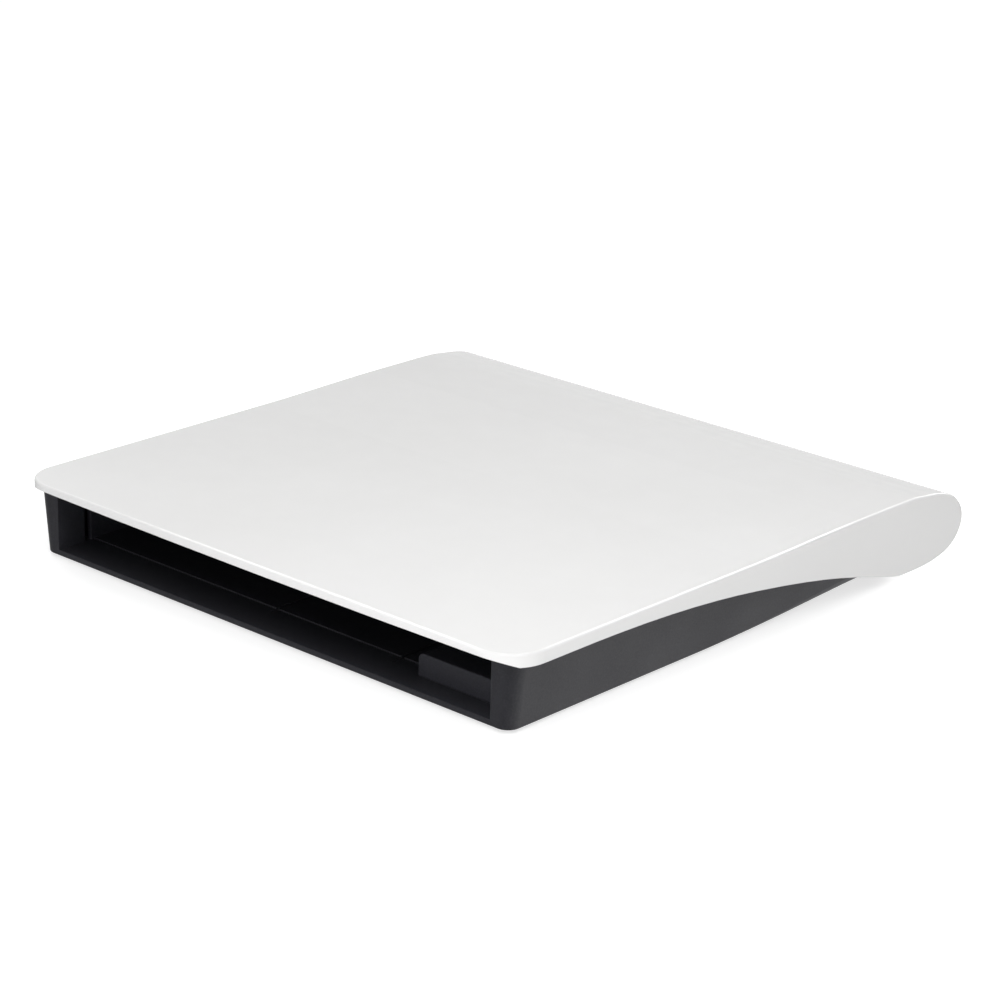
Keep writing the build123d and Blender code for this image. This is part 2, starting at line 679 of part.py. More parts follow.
def activity_led():
    """Small side-looking lamp behind the light pipe."""
    body = box(LED_X - 1.5, LED_X + 1.5, 67.4, 68.9, BOARD_TOP, BOARD_TOP + 2.0)
    lens = rod_y(LED_X, LED_Z, 68.8, 69.5, 0.8)
    return body + lens


PARTS = {
    "top_cover": top_cover,
    "light_pipe": light_pipe,
    "cover_pads": cover_pads,
    "base_tray": base_tray,
    "wing_spacer": wing_spacer,
    "floor_pads": floor_pads,
    "rating_label": rating_label,
    "bridge_board": bridge_board,
    "board_screws": board_screws,
    "sata_receptacle": sata_receptacle,
    "sata_contacts": sata_contacts,
    "usb_shell": usb_shell,
    "usb_tongue": usb_tongue,
    "usb_contacts": usb_contacts,
    "dc_jack": dc_jack,
    "dc_jack_pin": dc_jack_pin,
    "dc_jack_spring": dc_jack_spring,
    "bridge_chip": bridge_chip,
    "bridge_chip_leads": bridge_chip_leads,
    "crystal": crystal,
    "flash_chip": flash_chip,
    "voltage_regulator": voltage_regulator,
    "power_inductor": power_inductor,
    "bulk_capacitor": bulk_capacitor,
    "chip_capacitors": chip_capacitors,
    "chip_resistors": chip_resistors,
    "activity_led": activity_led,
    "foot_front_left": lambda: foot(-FOOT_X, FOOT_FRONT_Y),
    "foot_front_right": lambda: foot(FOOT_X, FOOT_FRONT_Y),
    "foot_rear_left": lambda: foot(-FOOT_X, FOOT_REAR_Y),
    "foot_rear_right": lambda: foot(FOOT_X, FOOT_REAR_Y),
}

os.makedirs("parts", exist_ok=True)
for name, make in PARTS.items():
    export_step(make(), os.path.join("parts", name + ".step"))
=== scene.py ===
import bmesh
import bpy
import math
from mathutils import Matrix, Vector


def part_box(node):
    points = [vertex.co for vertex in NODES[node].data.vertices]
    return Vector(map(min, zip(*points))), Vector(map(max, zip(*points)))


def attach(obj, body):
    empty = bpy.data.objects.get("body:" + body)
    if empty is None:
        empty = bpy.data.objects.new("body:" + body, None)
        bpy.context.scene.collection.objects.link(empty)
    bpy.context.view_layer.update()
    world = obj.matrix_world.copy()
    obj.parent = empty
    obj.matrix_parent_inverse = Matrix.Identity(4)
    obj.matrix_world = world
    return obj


# Looks for the slim optical drive enclosure: white cover, black tray, bridge electronics in the
# rear bulb. Everything is in metres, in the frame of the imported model.
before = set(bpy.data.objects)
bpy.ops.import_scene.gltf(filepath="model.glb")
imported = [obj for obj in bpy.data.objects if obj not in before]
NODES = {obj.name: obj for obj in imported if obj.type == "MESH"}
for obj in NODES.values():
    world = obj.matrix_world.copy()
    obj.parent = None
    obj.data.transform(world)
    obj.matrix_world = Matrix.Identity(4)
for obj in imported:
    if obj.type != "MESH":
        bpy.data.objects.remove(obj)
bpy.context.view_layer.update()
MM = 0.001

# Radii over which sharp edges look rounded.
MOULDED_EDGE = 0.2 * MM     # cover, tray and raised block
RUBBER_EDGE = 0.3 * MM
FINE_EDGE = 0.12 * MM       # metal parts, connectors and chips
BOARD_EDGE = 0.1 * MM
CERAMIC_EDGE = 0.08 * MM


# ---- camera ----
def make_camera():
    """Camera at the photograph's angle: azimuth, elevation and roll about a point in the object."""
    azimuth = math.radians(41.939)
    elevation = math.radians(19.748)
    roll = math.radians(1.523)
    distance = 701.55 * MM
    target = Vector((-7.035, 9.331, 8.7)) * MM
    forward = Vector((
        -math.sin(azimuth) * math.cos(elevation),
        math.cos(azimuth) * math.cos(elevation),
        -math.sin(elevation),
    ))
    level = Vector((math.cos(azimuth), math.sin(azimuth), 0))
    upright = level.cross(forward)
    right = math.cos(roll) * level + math.sin(roll) * upright
    up = math.cos(roll) * upright - math.sin(roll) * level
    position = target - forward * distance
    data = bpy.data.cameras.new("photo_camera")
    data.lens = 111.42          # millimetres, as is the sensor's width
    data.sensor_width = 36
    camera = bpy.data.objects.new("photo_camera", data)
    bpy.context.scene.collection.objects.link(camera)
    matrix = Matrix.Identity(4)
    for i in range(3):
        matrix[i][0] = right[i]
        matrix[i][1] = up[i]
        matrix[i][2] = -forward[i]
        matrix[i][3] = position[i]
    camera.matrix_world = matrix
    bpy.context.scene.camera = camera


# ---- nodes of a material ----
class Look:
    """A material under construction, with short calls for the nodes that most finishes share."""

    def __init__(self, name):
        """New material with a principled shader and a place on the object."""
        self.material = bpy.data.materials.new(name)
        self.material.use_nodes = True
        self.tree = self.material.node_tree
        self.shader = self.tree.nodes["Principled BSDF"]
        self.place = self.node("ShaderNodeTexCoord").outputs["Object"]
        self.rounded = None     # normals so far, from soft edges and relief
        self.edge = None        # mask of the sharp edges

    def node(self, kind, **settings):
        """New node of a kind, with its settings."""
        made = self.tree.nodes.new(kind)
        for key, value in settings.items():
            setattr(made, key, value)
        return made

    def link(self, out, into):
        """Join an output to an input."""
        self.tree.links.new(out, into)

    def set(self, **values):
        """Constant values on the shader's own sockets, with _ for a space in a socket's name."""
        for key, value in values.items():
            self.shader.inputs[key.replace("_", " ")].default_value = value

    def math(self, operation, a, b=0.0, clamp=False):
        """Result of an operation on two numbers, each a value or the output of a node."""
        made = self.node("ShaderNodeMath", operation=operation, use_clamp=clamp)
        for socket, value in zip(made.inputs, (a, b)):
            if isinstance(value, (int, float)):
                socket.default_value = value
            else:
                self.link(value, socket)
        return made.outputs[0]

    def noise(self, scale, detail=2.0, rough=0.5, stretch=None):
        """Noise over the object, with scale in features per metre."""
        made = self.node("ShaderNodeTexNoise")
        made.inputs["Scale"].default_value = scale
        made.inputs["Detail"].default_value = detail
        made.inputs["Roughness"].default_value = rough
        place = self.place
        if stretch:
            mapping = self.node("ShaderNodeMapping")
            mapping.inputs["Scale"].default_value = stretch
            self.link(self.place, mapping.inputs["Vector"])
            place = mapping.outputs[0]
        self.link(place, made.inputs["Vector"])
        return made.outputs["Fac"]

    def spread(self, value, low, high, start=0.3, end=0.7):
        """A value between start and end, carried over to low and high."""
        made = self.node("ShaderNodeMapRange")
        made.inputs["From Min"].default_value = start
        made.inputs["From Max"].default_value = end
        made.inputs["To Min"].default_value = low
        made.inputs["To Max"].default_value = high
        self.link(value, made.inputs["Value"])
        return made.outputs[0]

    def mix(self, amount, first, second):
        """Colour between two colours, each a value or the output of another node."""
        made = self.node("ShaderNodeMix", data_type="RGBA")
        self.link(amount, made.inputs["Factor"])
        first_color, second_color, mixed_color = made.inputs[6], made.inputs[7], made.outputs[2]
        for socket, value in ((first_color, first), (second_color, second)):
            if isinstance(value, tuple):
                socket.default_value = (*value, 1)
            else:
                self.link(value, socket)
        return mixed_color

    def color(self, out):
        """Base colour from the output of a node."""
        self.link(out, self.shader.inputs["Base Color"])

    def roughness(self, out):
        """Roughness from the output of a node."""
        self.link(out, self.shader.inputs["Roughness"])

    def soft_edges(self, radius):
        """Normals rounded over sharp edges, and a mask that is 1 along those edges."""
        bevel = self.node("ShaderNodeBevel", samples=4)
        bevel.inputs["Radius"].default_value = radius
        dot = self.node("ShaderNodeVectorMath", operation="DOT_PRODUCT")
        self.link(bevel.outputs[0], dot.inputs[0])
        self.link(self.node("ShaderNodeNewGeometry").outputs["Normal"], dot.inputs[1])
        self.rounded = bevel.outputs[0]
        self.edge = self.spread(dot.outputs["Value"], 1.0, 0.0, start=0.72, end=0.99)

    def worn(self, share):
        """The mask of the edges at a share of its strength."""
        return self.math("MULTIPLY", self.edge, share)

    def bump(self, height, strength, depth):
        """Relief on top of the rounded edges or of the relief before it."""
        made = self.node("ShaderNodeBump")
        made.inputs["Strength"].default_value = strength
        made.inputs["Distance"].default_value = depth
        self.link(height, made.inputs["Height"])
        if self.rounded:
            self.link(self.rounded, made.inputs["Normal"])
        self.rounded = made.outputs[0]
        self.link(self.rounded, self.shader.inputs["Normal"])

    def axis(self, index):
        """One coordinate of the place on the object, in metres."""
        split = self.node("ShaderNodeSeparateXYZ")
        self.link(self.place, split.inputs[0])
        return split.outputs[index]


# ---- finishes ----
def gloss_white():
    """Polished white ABS, with painted shade on its downward inside faces over the bay."""
    look = Look("gloss_white")
    look.soft_edges(MOULDED_EDGE)
    cloud = look.spread(look.noise(28, 3), 0.0, 1.0)
    tint = look.mix(cloud, (0.82, 0.817, 0.812), (0.84, 0.838, 0.834))
    white = look.mix(look.worn(0.35), tint, (0.86, 0.86, 0.855))
    split = look.node("ShaderNodeSeparateXYZ")
    look.link(look.node("ShaderNodeNewGeometry").outputs["True Normal"], split.inputs[0])
    # Painted shade: the downward faces inside the cover, over the bay and behind the front lip, are
    # painted near black to darken the bay.
    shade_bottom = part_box("base_tray")[1].z + 0.8 * MM
    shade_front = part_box("base_tray")[0].y - 1.05 * MM       # behind the front lip
    downward = -0.9             # z of a normal that points almost straight down
    facing_down = look.math("LESS_THAN", split.outputs["Z"], downward)
    over_bay = look.math("GREATER_THAN", look.axis(2), shade_bottom)
    behind_lip = look.math("GREATER_THAN", look.axis(1), shade_front)
    painted_shade_mask = look.math("MULTIPLY", look.math("MULTIPLY", facing_down, over_bay), behind_lip)
    # Near-black painted shade with a fine random tone; it is also made a little rougher below.
    painted_shade_color = look.mix(look.noise(900, 3), (0.016, 0.016, 0.017), (0.028, 0.028, 0.029))
    look.color(look.mix(painted_shade_mask, white, painted_shade_color))
    smooth = look.spread(look.noise(160, 4), 0.17, 0.25)
    shade_dulling = look.math("MULTIPLY", painted_shade_mask, 0.4)
    look.roughness(look.math("ADD", smooth, shade_dulling))
    look.set(IOR=1.53, Coat_Weight=0.7, Coat_Roughness=0.07)
    look.bump(look.noise(420, 2), strength=0.022, depth=0.02 * MM)
    return look.material


def satin_black(name, light, grain, smoothest, roughest):
    """Spark-eroded black ABS: fine grain, uneven sheen, edges rubbed a little paler."""
    look = Look(name)
    look.soft_edges(MOULDED_EDGE)
    fine = look.noise(grain, 3, 0.6)
    speck = look.spread(look.noise(grain * 0.8, 2), 0.0, 1.0, start=0.42, end=0.66)
    ground = (light, light, light * 1.25)
    pale = (light * 1.5, light * 1.5, light * 1.85)
    body = look.mix(speck, ground, pale)
    look.color(look.mix(look.worn(0.5), body, (0.075, 0.075, 0.08)))
    patch = look.spread(look.noise(45, 3), smoothest, roughest)
    look.roughness(look.math("ADD", patch, look.spread(fine, -0.05, 0.05)))
    look.set(IOR=1.8)
    look.bump(fine, strength=0.5, depth=0.03 * MM)
    return look.material


def foam():
    """Closed-cell foam: open pores on a matt dark skin, with painted shade in the pores."""
    look = Look("foam")
    cells = look.node("ShaderNodeTexVoronoi")
    cells.inputs["Scale"].default_value = 2600
    look.link(look.place, cells.inputs["Vector"])
    pores_and_shade = look.spread(cells.outputs["Distance"], 0.0, 1.0, start=0.1, end=0.5)
    # Painted shade: the pores are darker where the bump sinks them.
    look.color(look.mix(pores_and_shade, (0.012, 0.012, 0.013), (0.05, 0.05, 0.052)))
    look.roughness(look.spread(look.noise(300), 0.86, 0.98))
    look.bump(pores_and_shade, strength=0.6, depth=0.12 * MM)
    return look.material


def rubber():
    """Matt rubber with a dusty bloom."""
    look = Look("rubber")
    look.soft_edges(RUBBER_EDGE)
    bloom = look.spread(look.noise(240, 4), 0.0, 1.0, start=0.35, end=0.75)
    look.color(look.mix(bloom, (0.018, 0.018, 0.018), (0.042, 0.041, 0.04)))
    look.roughness(look.spread(look.noise(900, 2), 0.7, 0.9))
    look.bump(look.noise(3200, 2), strength=0.3, depth=0.04 * MM)
    return look.material


def blank_label():
    """Silver-white film with a thin grey frame line printed near its edge and no lettering."""
    look = Look("blank_label")
    low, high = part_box("rating_label")
    inset = 2.0 * MM
    line = 0.35 * MM
    outside = None
    inside = None
    for index in (0, 1):
        middle = (low[index] + high[index]) / 2
        half = (high[index] - low[index]) / 2
        away = look.math("ABSOLUTE", look.math("SUBTRACT", look.axis(index), middle))
        past_outer = look.math("GREATER_THAN", away, half - inset)
        past_inner = look.math("GREATER_THAN", away, half - inset - line)
        outside = past_outer if outside is None else look.math("MAXIMUM", outside, past_outer)
        inside = past_inner if inside is None else look.math("MAXIMUM", inside, past_inner)
    frame_line = look.math("SUBTRACT", inside, outside, clamp=True)
    film = look.mix(look.noise(60, 3, stretch=(1, 14, 1)), (0.66, 0.67, 0.68), (0.74, 0.75, 0.76))
    look.color(look.mix(frame_line, film, (0.2, 0.21, 0.22)))
    look.roughness(look.spread(look.noise(700, 3, stretch=(1, 10, 1)), 0.32, 0.5))
    look.set(Metallic=0.35)
    look.bump(look.noise(1500, 2, stretch=(1, 9, 1)), strength=0.12, depth=0.02 * MM)
    return look.material


def solder_mask(name, dark, light):
    """Green solder resist with a glass-fibre weave showing faintly through."""
    look = Look(name)
    look.soft_edges(BOARD_EDGE)
    weave = look.node("ShaderNodeTexChecker")
    weave.inputs["Scale"].default_value = 1400
    look.link(look.place, weave.inputs["Vector"])
    cloud = look.math("ADD", look.math("MULTIPLY", weave.outputs["Fac"], 0.25), look.noise(260, 3))
    body = look.mix(look.spread(cloud, 0.0, 1.0, start=0.3, end=0.95), dark, light)
    look.color(body)
    look.roughness(look.spread(look.noise(500, 2), 0.22, 0.36))
    look.set(Coat_Weight=0.3, Coat_Roughness=0.12)
    look.bump(weave.outputs["Fac"], strength=0.05, depth=0.01 * MM)
    return look.material


def metal(name, base, dull, smoothest, roughest):
    """Plated or bare metal: drawn or stamped grain, duller patches, brighter edges."""
    look = Look(name)
    look.soft_edges(FINE_EDGE)
    grain = look.noise(900, 4, 0.65)
    cloud = look.spread(look.noise(300, 3), 0.0, 1.0, start=0.35, end=0.7)
    body = look.mix(cloud, base, dull)
    bright = tuple(min(1.0, c * 1.12) for c in base)
    look.color(look.mix(look.edge, body, bright))
    look.roughness(look.spread(grain, smoothest, roughest))
    look.set(Metallic=1.0)
    look.bump(grain, strength=0.18, depth=0.015 * MM)
    return look.material


def moulded_black(name, light=0.016):
    """Moulded nylon or epoxy: matt, very fine grain."""
    look = Look(name)
    look.soft_edges(FINE_EDGE)
    cloud = look.spread(look.noise(700, 3), 0.0, 1.0)
    body = look.mix(cloud, (light, light, light), (light * 2, light * 2, light * 2.05))
    look.color(look.mix(look.worn(0.6), body, (0.07, 0.07, 0.072)))
    look.roughness(look.spread(look.noise(1600, 3), 0.48, 0.68))
    look.bump(look.noise(5200, 2), strength=0.3, depth=0.02 * MM)
    return look.material


def clear_acrylic():
    """Polished clear acrylic with faint streaks."""
    look = Look("clear_acrylic")
    look.color(look.mix(look.noise(500, 2), (0.93, 0.95, 0.96), (0.97, 0.98, 0.98)))
    look.roughness(look.spread(look.noise(1200, 2), 0.03, 0.1))
    look.set(Transmission_Weight=0.9, IOR=1.49)
    look.bump(look.noise(1800, 2, stretch=(1, 0.1, 1)), strength=0.08, depth=0.02 * MM)
    return look.material


def ceramic(name, first, second):
    """Fired ceramic: grainy, slightly glazed."""
    look = Look(name)
    look.soft_edges(CERAMIC_EDGE)
    look.color(look.mix(look.spread(look.noise(2600, 3), 0.0, 1.0), first, second))
    look.roughness(look.spread(look.noise(1500, 2), 0.3, 0.5))
    look.bump(look.noise(6000, 2), strength=0.2, depth=0.01 * MM)
    return look.material


def lamp_body():
    """White moulded lamp body with a warm lens: the lens is the part past the body's rear face."""
    look = Look("lamp_body")
    lens_length = 0.6 * MM
    lens_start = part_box("activity_led")[1].y - lens_length
    lens = look.math("GREATER_THAN", look.axis(1), lens_start)
    body = look.mix(look.noise(900, 2), (0.78, 0.78, 0.74), (0.86, 0.86, 0.82))
    look.color(look.mix(lens, body, (0.8, 0.68, 0.25)))
    look.roughness(look.spread(look.noise(1500, 2), 0.22, 0.4))
    look.bump(look.noise(3000, 2), strength=0.1, depth=0.01 * MM)
    return look.material


def wound_inductor():
    """Ferrite foot and flange with a copper winding between them, with painted shade in the grooves
    between the turns.
    """
    look = Look("wound_inductor")
    look.soft_edges(BOARD_EDGE)
    winding_low = 0.52 * MM
    winding_high = 1.98 * MM
    height = look.math("SUBTRACT", look.axis(2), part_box("power_inductor")[0].z)
    above_foot = look.math("GREATER_THAN", height, winding_low)
    below_flange = look.math("LESS_THAN", height, winding_high)
    winding = look.math("MULTIPLY", above_foot, below_flange)
    ferrite = look.mix(look.noise(2200, 3), (0.05, 0.05, 0.052), (0.1, 0.1, 0.105))
    turns = look.node("ShaderNodeTexWave", bands_direction="Z")
    turns.inputs["Scale"].default_value = 1200
    turns.inputs["Distortion"].default_value = 0.4
    look.link(look.place, turns.inputs["Vector"])
    # Painted shade: the copper is darker where the bump puts the grooves between the turns.
    copper_with_painted_shade = look.mix(turns.outputs["Fac"], (0.35, 0.11, 0.03), (0.78, 0.33, 0.12))
    look.color(look.mix(winding, ferrite, copper_with_painted_shade))
    look.roughness(look.spread(look.noise(1800, 3), 0.35, 0.6))
    look.link(winding, look.shader.inputs["Metallic"])
    look.bump(look.math("MULTIPLY", turns.outputs["Fac"], winding), strength=0.5, depth=0.05 * MM)
    return look.material


def sleeved_can():
    """Aluminium can on a black base, with a dark polarity band on one side of its top."""
    look = Look("sleeved_can")
    look.soft_edges(FINE_EDGE)
    low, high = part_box("bulk_capacitor")
    base_top = low.z + 0.82 * MM
    top_face = high.z - 0.02 * MM
    band_edge = (low.x + high.x) / 2 - 1.0 * MM
    base = look.math("LESS_THAN", look.axis(2), base_top)
    near_top = look.math("GREATER_THAN", look.axis(2), top_face)
    one_side = look.math("LESS_THAN", look.axis(0), band_edge)
    dark = look.math("MAXIMUM", base, look.math("MULTIPLY", near_top, one_side))
    can = look.mix(look.noise(500, 3, stretch=(1, 1, 6)), (0.62, 0.62, 0.63), (0.78, 0.78, 0.79))
    look.color(look.mix(dark, can, (0.02, 0.02, 0.02)))
    look.link(look.math("SUBTRACT", 1.0, dark), look.shader.inputs["Metallic"])
    look.roughness(look.spread(look.noise(1400, 3, stretch=(1, 1, 5)), 0.26, 0.42))
    look.bump(look.noise(2000, 2), strength=0.12, depth=0.01 * MM)
    return look.material


def finish_nodes():
    """Every CAD node gets its finish."""
    steel = metal("socket_steel", (0.62, 0.62, 0.63), (0.5, 0.5, 0.51), 0.22, 0.4)
    tin = metal("tinned_leads", (0.7, 0.7, 0.7), (0.58, 0.58, 0.58), 0.28, 0.45)
    gold = metal("gold_contacts", (0.86, 0.62, 0.24), (0.74, 0.5, 0.18), 0.18, 0.3)
    moulded = moulded_black("moulded_connector")
    epoxy = moulded_black("chip_epoxy", 0.02)
    soft = foam()
    feet = rubber()
    finishes = {
        "top_cover": gloss_white(),
        "light_pipe": clear_acrylic(),
        "cover_pads": soft,
        "base_tray": satin_black("tray_satin_black", 0.0205, 3000, 0.42, 0.54),
        "wing_spacer": satin_black("spacer_satin_black", 0.03, 3400, 0.36, 0.46),
        "floor_pads": soft,
        "rating_label": blank_label(),
        "bridge_board": solder_mask("solder_mask", (0.008, 0.085, 0.035), (0.015, 0.14, 0.06)),
        "board_screws": metal("zinc_screws", (0.66, 0.66, 0.68), (0.5, 0.5, 0.52), 0.2, 0.36),
        "sata_receptacle": moulded,
        "sata_contacts": gold,
        "usb_shell": steel,
        "usb_tongue": moulded,
        "usb_contacts": gold,
        "dc_jack": moulded,
        "dc_jack_pin": steel,
        "dc_jack_spring": steel,
        "bridge_chip": epoxy,
        "bridge_chip_leads": tin,
        "crystal": metal("crystal_can", (0.72, 0.72, 0.73), (0.6, 0.6, 0.62), 0.16, 0.3),
        "flash_chip": epoxy,
        "voltage_regulator": epoxy,
        "power_inductor": wound_inductor(),
        "bulk_capacitor": sleeved_can(),
        "chip_capacitors": ceramic("capacitor_ceramic", (0.34, 0.22, 0.12), (0.46, 0.32, 0.19)),
        "chip_resistors": ceramic("resistor_ceramic", (0.02, 0.02, 0.024), (0.05, 0.05, 0.056)),
        "activity_led": lamp_body(),
    }
    for name, node in NODES.items():
        node.data.materials.clear()
        node.data.materials.append(feet if name.startswith("foot_") else finishes[name])


# ---- fine pieces on the circuit board ----
BOARD_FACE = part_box("bridge_board")[1].z
# In millimetres, as are all places on the board below.
SIGNAL_PITCH = 1.27
TRACK_THIN = 0.22
TRACK_WIDE = 0.9
TRACK_HEIGHT = 0.035
TRACK_PITCH = 0.45
SUNK = -0.005               # height of the pieces' undersides, just inside the board


def add_piece(name, mesh_parts, look):
    """One mesh object from a bmesh, which rides on the base."""
    mesh = bpy.data.meshes.new(name)
    mesh_parts.to_mesh(mesh)
    mesh_parts.free()
    mesh.materials.append(look)
    piece = bpy.data.objects.new(name, mesh)
    bpy.context.scene.collection.objects.link(piece)
    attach(piece, "base")


def close_rings(parts, rings):
    """Skin over a row of rings of vertices, closed at both ends."""
    count = len(rings[0])
    for first, second in zip(rings, rings[1:]):
        for i in range(count):
            j = (i + 1) % count
            parts.faces.new((first[i], first[j], second[j], second[i]))
    parts.faces.new(rings[0][::-1])
    parts.faces.new(rings[-1])


def add_ribbon(parts, points, width):
    """Flat track with mitred corners along points on the board's face, in millimetres."""
    half = width / 2
    slope = 0.03                # inset of the track's top edges
    bluntest = 0.4              # limit on the length of a mitre at a sharp bend
    spine = [Vector(point) for point in points]
    sides = []
    for i, point in enumerate(spine):
        before = (point - spine[i - 1]).normalized() if i > 0 else None
        after = (spine[i + 1] - point).normalized() if i + 1 < len(spine) else None
        along = (before or after) + (after or before)
        along.normalize()
        across = Vector((-along.y, along.x))
        reach = half / max(bluntest, along.dot(before or after))
        sides.append((point + across * reach, point - across * reach))
    rings = []
    for left, right in sides:
        corners = []
        for spot, inset in ((left, 0.0), (right, 0.0), (right, slope), (left, slope)):
            spot = spot + (left + right - 2 * spot).normalized() * inset
            up = TRACK_HEIGHT if inset else SUNK
            corners.append(parts.verts.new((spot.x * MM, spot.y * MM, BOARD_FACE + up * MM)))
        rings.append(corners)
    close_rings(parts, rings)


def add_turned(parts, x, y, outline):
    """Body turned about an upright axis, from radius and height pairs in millimetres."""
    segments = 20
    rings = []
    for radius, height in outline:
        ring = []
        for i in range(segments):
            angle = 2 * math.pi * i / segments
            spot = ((x + radius * math.cos(angle)) * MM, (y + radius * math.sin(angle)) * MM)
            ring.append(parts.verts.new((*spot, BOARD_FACE + height * MM)))
        rings.append(ring)
    close_rings(parts, rings)


def islands(name):
    """Lowest and highest corner of every separate solid of a node, from left to right."""
    parts = bmesh.new()
    parts.from_mesh(NODES[name].data)
    welding = 0.001 * MM
    bmesh.ops.remove_doubles(parts, verts=parts.verts, dist=welding)
    waiting = set(parts.verts)
    boxes = []
    while waiting:
        stack = [waiting.pop()]
        found = []
        while stack:
            vertex = stack.pop()
            found.append(vertex.co.copy())
            for edge in vertex.link_edges:
                other = edge.other_vert(vertex)
                if other in waiting:
                    waiting.remove(other)
                    stack.append(other)
        low = Vector([min(co[i] for co in found) for i in range(3)])
        high = Vector([max(co[i] for co in found) for i in range(3)])
        boxes.append((low, high))
    parts.free()
    return sorted(boxes, key=lambda pair: (round(pair[0].x, 6), round(pair[0].y, 6)))


def add_block(parts, low, high, rounding):
    """Block between two corners, in metres, with all its edges rounded."""
    made = bmesh.ops.create_cube(parts, size=1.0)["verts"]
    for vertex in made:
        for i in range(3):
            vertex.co[i] = low[i] if vertex.co[i] < 0 else high[i]
    edges = list(dict.fromkeys(edge for vertex in made for edge in vertex.link_edges))
    bmesh.ops.bevel(parts, geom=edges, offset=rounding, segments=2, profile=0.5, affect="EDGES")


def end_caps():
    """Plated ends on every chip capacitor and resistor, with a little solder under each."""
    cap_length = 0.32 * MM
    proud = 0.025 * MM
    solder = 0.28 * MM
    solder_share = 0.45         # of the part's height
    cap_rounding = 0.05 * MM
    solder_rounding = 0.1 * MM
    parts = bmesh.new()
    for name in ("chip_capacitors", "chip_resistors"):
        for low, high in islands(name):
            long = 1 if high.y - low.y > high.x - low.x else 0
            side = 1 - long
            for end in (-1, 1):
                cap_low = low.copy()
                cap_high = high.copy()
                fillet_low = low.copy()
                fillet_high = high.copy()
                if end < 0:
                    cap_high[long] = low[long] + cap_length
                    cap_low[long] -= proud
                    fillet_low[long] -= solder
                    fillet_high[long] = low[long] + proud
                else:
                    cap_low[long] = high[long] - cap_length
                    cap_high[long] += proud
                    fillet_high[long] += solder
                    fillet_low[long] = high[long] - proud
                cap_low[side] -= proud
                cap_high[side] += proud
                cap_high.z += proud
                fillet_high.z = low.z + (high.z - low.z) * solder_share
                add_block(parts, cap_low, cap_high, cap_rounding)
                add_block(parts, fillet_low, fillet_high, solder_rounding)
    return parts


def board_tracks():
    """Raised copper tracks under the solder resist."""
    parts = bmesh.new()
    # The data pair, from the USB socket to the bridge chip.
    for i in range(2):
        shift = TRACK_PITCH * i
        add_ribbon(parts, [
            (-43.6 + shift, 64.9), (-43.6 + shift, 62.9 - shift), (-42.6, 62.2 - shift),
            (-17.6, 62.2 - shift), (-16.6, 63.2 - shift), (-5.9, 63.2 - shift),
        ], TRACK_THIN)
    # Signals that leave the drive connector to the rear and turn right.
    for i in range(4):
        x = -43.5 + SIGNAL_PITCH * i
        y = 66.2 - 0.42 * i
        add_ribbon(parts, [
            (x, 61.8), (x, 62.0), (x, 63.9), (x + 1.0, 64.9), (-35.8, 64.9 + 0.5 * i),
            (-35.0, y), (-27.5, y),
        ], TRACK_THIN)
    # Power, from the 5 V inlet to the inductor, the capacitor and the regulator.
    add_ribbon(parts, [(-18.6, 61.6), (-17.2, 60.2), (-14.1, 60.2)], TRACK_WIDE)
    add_ribbon(parts, [(-11.5, 62.2), (-11.5, 63.6)], TRACK_WIDE)
    add_ribbon(parts, [(-8.7, 66.8), (-7.6, 68.6), (12.6, 68.6), (13.2, 67.9)], TRACK_WIDE)
    # The crystal's two tracks, and the signals to the memory chip.
    add_ribbon(parts, [(5.4, 61.6), (6.2, 60.8), (6.7, 60.8)], TRACK_THIN)
    add_ribbon(parts, [(5.4, 64.4), (6.2, 65.2), (6.7, 65.2)], TRACK_THIN)
    for i in range(4):
        y = 58.1 + TRACK_PITCH * i
        add_ribbon(parts, [(3.7, y), (11.8, y), (12.6, 58.4 + 0.5 * i)], TRACK_THIN)
    return parts


def board_vias():
    """Tinned rings with a dimple, in rows along the board's rear edge and a few between its parts."""
    ring = ((0.34, SUNK), (0.32, 0.045), (0.2, 0.05), (0.14, 0.0), (0.02, -0.004))
    places = [(-56.2 + 3.1 * i, 69.1) for i in range(3)]
    places += [(-31.0 + 2.3 * i, 69.0) for i in range(3)]
    places += [(-6.2 + 2.4 * i, 69.1) for i in range(4)]
    places += [(6.2, 57.3), (24.0, 66.6), (24.6, 68.4), (20.4, 57.6), (-17.4, 58.2), (-15.9, 57.5)]
    parts = bmesh.new()
    for x, y in places:
        add_turned(parts, x, y, ring)
    return parts


def solder_joints():
    """Domed solder beside the legs of the three sockets."""
    dome = ((0.55, SUNK), (0.5, 0.08), (0.34, 0.24), (0.14, 0.34), (0.03, 0.36))
    places = []
    # Each socket: its box, how far beside it the joints are, and the y of each pair.
    sockets = (
        (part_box("usb_shell"), 0.3, (66.6, 69.0)),
        (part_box("dc_jack"), 0.3, (63.6, 67.4)),
        (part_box("sata_receptacle"), 0.4, (60.4,)),
    )
    for (low, high), beside, rows in sockets:
        for y in rows:
            places += [(low.x / MM - beside, y), (high.x / MM + beside, y)]
    parts = bmesh.new()
    for x, y in places:
        add_turned(parts, x, y, dome)
    return parts


def detail_board():
    """Tracks, vias, solder and end caps on the board."""
    solder = metal("bright_solder", (0.74, 0.74, 0.74), (0.6, 0.6, 0.61), 0.2, 0.36)
    resist = solder_mask("raised_resist", (0.02, 0.21, 0.08), (0.034, 0.3, 0.12))
    add_piece("board_tracks", board_tracks(), resist)
    add_piece("board_vias", board_vias(), solder)
    add_piece("solder_joints", solder_joints(), solder)
    add_piece("chip_end_caps", end_caps(), solder)


